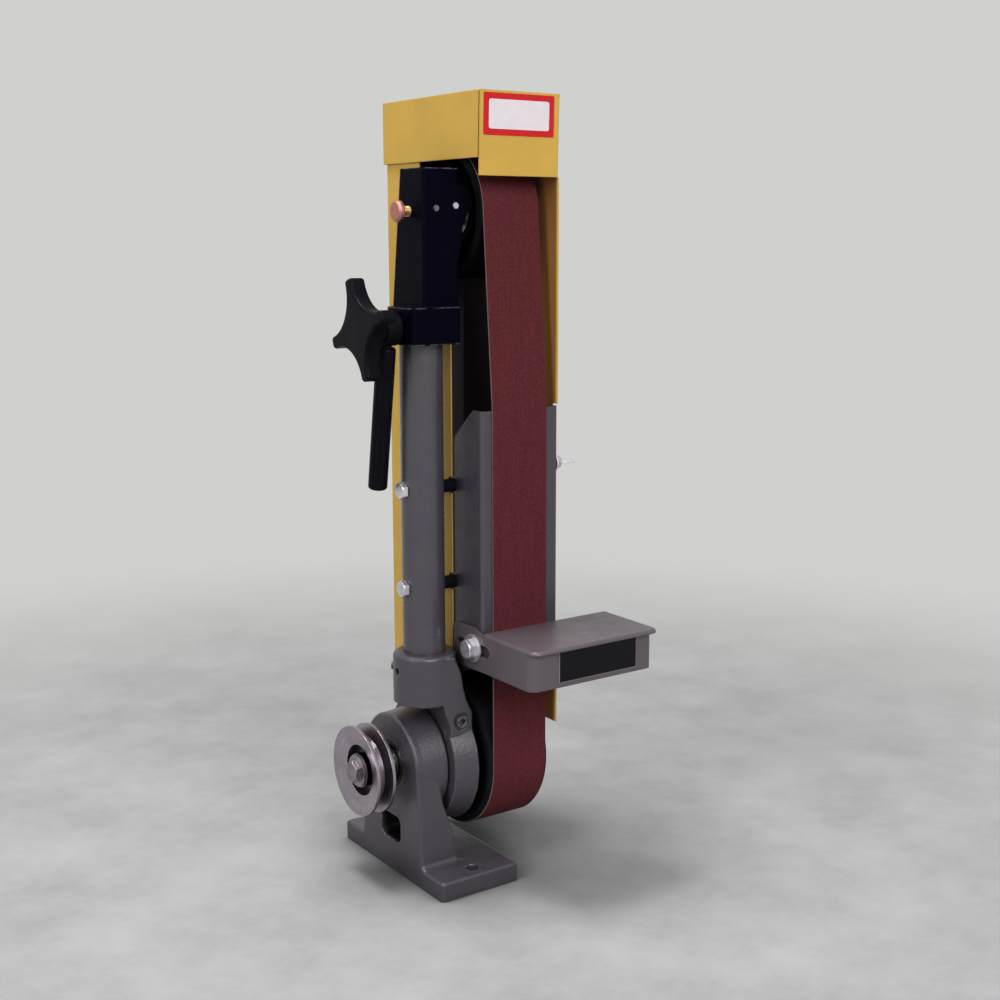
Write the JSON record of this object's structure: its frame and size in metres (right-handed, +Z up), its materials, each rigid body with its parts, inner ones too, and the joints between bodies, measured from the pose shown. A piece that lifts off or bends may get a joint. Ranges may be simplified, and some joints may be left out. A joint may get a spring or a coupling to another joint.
{
  "type": "stationary belt sander",
  "caption": "Upright bench belt sander: coated belt over a pulley-driven lower wheel and a sprung upper idler, with platen, folded guard, swinging column and tilting table.",
  "frame": {"origin": "middle of the foot's underside, on the bench", "axes": "+Z up the column, +X from the pulley side toward the belt side, front of the belt faces -Y"},
  "size_m": [0.2048, 0.21, 0.614],
  "materials": {
    "grey_enamel": "satin grey enamel",
    "yellow_enamel": "satin yellow enamel",
    "black_enamel": "gloss black enamel",
    "black_wheel": "black painted",
    "wheel_rubber": "smooth black",
    "bright_steel": "machined",
    "zinc_steel": "zinc plated",
    "black_steel": "black oxide",
    "black_plastic": "moulded black",
    "brass_thread": "threaded brass",
    "copper_head": "copper coloured",
    "abrasive_cloth": "coated abrasive",
    "label_sheet": "blank label",
    "black_plate": "blank black plate"
  },
  "bodies": {
    "base": {"base_casting": "grey_enamel", "shaft_bearing_outer_rings": "bright_steel", "shaft_bearing_balls": "bright_steel"},
    "drive": {"drive_shaft": "bright_steel", "shaft_bearing_inner_rings": "bright_steel", "v_pulley": "bright_steel", "pulley_set_screw": "brass_thread", "pulley_end_washer": "bright_steel", "pulley_end_screw": "zinc_steel", "drive_wheel": "black_wheel", "drive_wheel_tyre": "wheel_rubber", "wheel_washer": "bright_steel", "wheel_nut": "zinc_steel"},
    "arm": {"arm_casting": "grey_enamel", "arm_clamp_screw": "black_steel", "collar_set_screws": "black_steel", "column_tube": "grey_enamel", "spring_seat": "black_steel", "tension_spring": "black_steel", "platen_bracket": "grey_enamel", "bracket_spacers": "black_steel", "bracket_bolts": "zinc_steel", "bracket_nuts": "zinc_steel", "guard_body": "yellow_enamel", "guard_cap": "yellow_enamel", "guard_label": "label_sheet", "guard_stud": "zinc_steel", "wing_washer": "zinc_steel", "abrasive_belt": "abrasive_cloth", "table_bolt": "zinc_steel", "table_nut": "zinc_steel"},
    "wing": {"wing_nut": "zinc_steel"},
    "upper_arm": {"upper_arm": "black_enamel", "gib_screws": "zinc_steel", "pivot_pin": "bright_steel"},
    "carrier": {"axle_carrier": "black_enamel", "idler_axle": "bright_steel", "axle_sleeves": "bright_steel", "axle_washer": "bright_steel", "axle_nut": "zinc_steel", "idler_bearing_inner_rings": "bright_steel", "idler_bearing_balls": "bright_steel"},
    "idler": {"idler_wheel": "black_wheel", "idler_bearing_outer_rings": "bright_steel"},
    "tracker": {"tracking_screw": "brass_thread", "tracking_knob": "copper_head"},
    "clamp": {"clamp_knob": "black_plastic", "clamp_stud": "black_steel"},
    "lever": {"tension_lever": "black_enamel", "lever_grip": "black_plastic"},
    "table_pivot": {"table_washer": "zinc_steel"},
    "table": {"work_table": "grey_enamel", "table_plate": "black_plate"}
  },
  "joints": [
    {"name": "drive_spin", "type": "hinge", "parent": "base", "child": "drive", "pos_m": [0, 0, 0.091], "axis": [1, 0, 0], "continuous": true},
    {"name": "arm_swing", "type": "hinge", "parent": "base", "child": "arm", "pos_m": [0, 0, 0.091], "axis": [-1, 0, 0], "range_deg": [0, 90]},
    {"name": "tension_slide", "type": "slide", "parent": "arm", "child": "upper_arm", "axis": [0, 0, 1], "range_m": [-0.008, 0], "stiffness_N_per_m": 3000, "springref_m": 0.02, "deforming": ["tension_spring", "abrasive_belt"]},
    {"name": "tracking_tilt", "type": "hinge", "parent": "upper_arm", "child": "carrier", "pos_m": [-0.0007, -0.016, 0.5], "axis": [0, 1, 0], "range_deg": [-1, 1]},
    {"name": "idler_spin", "type": "hinge", "parent": "carrier", "child": "idler", "pos_m": [0.05, 0.002, 0.527], "axis": [1, 0, 0], "continuous": true},
    {"name": "tracking_turn", "type": "hinge", "parent": "upper_arm", "child": "tracker", "pos_m": [-0.02, -0.016, 0.5275], "axis": [1, 0, 0], "range_deg": [-140, 140]},
    {"name": "clamp_turn", "type": "hinge", "parent": "upper_arm", "child": "clamp", "pos_m": [-0.04, -0.02, 0.441], "axis": [1, 0, 0], "range_deg": [0, 360]},
    {"name": "lever_swing", "type": "hinge", "parent": "upper_arm", "child": "lever", "pos_m": [-0.044, -0.02, 0.441], "axis": [1, 0, 0], "range_deg": [0, 120]},
    {"name": "table_tilt", "type": "hinge", "parent": "arm", "child": "table_pivot", "pos_m": [0.0107, -0.0518, 0.1915], "axis": [1, 0, 0], "range_deg": [0, 45]},
    {"name": "table_slide", "type": "slide", "parent": "table_pivot", "child": "table", "axis": [0, -1, 0], "range_m": [0, 0.015]},
    {"name": "wing_turn", "type": "hinge", "parent": "arm", "child": "wing", "pos_m": [0.09, -0.052, 0.332], "axis": [1, 0, 0], "range_deg": [0, 360]}
  ],
  "couplings": [
    {"joint": "idler_spin", "follows": "drive_spin", "ratio": 1.187},
    {"joint": "tracking_turn", "follows": "tracking_tilt", "ratio": 138}
  ]
}
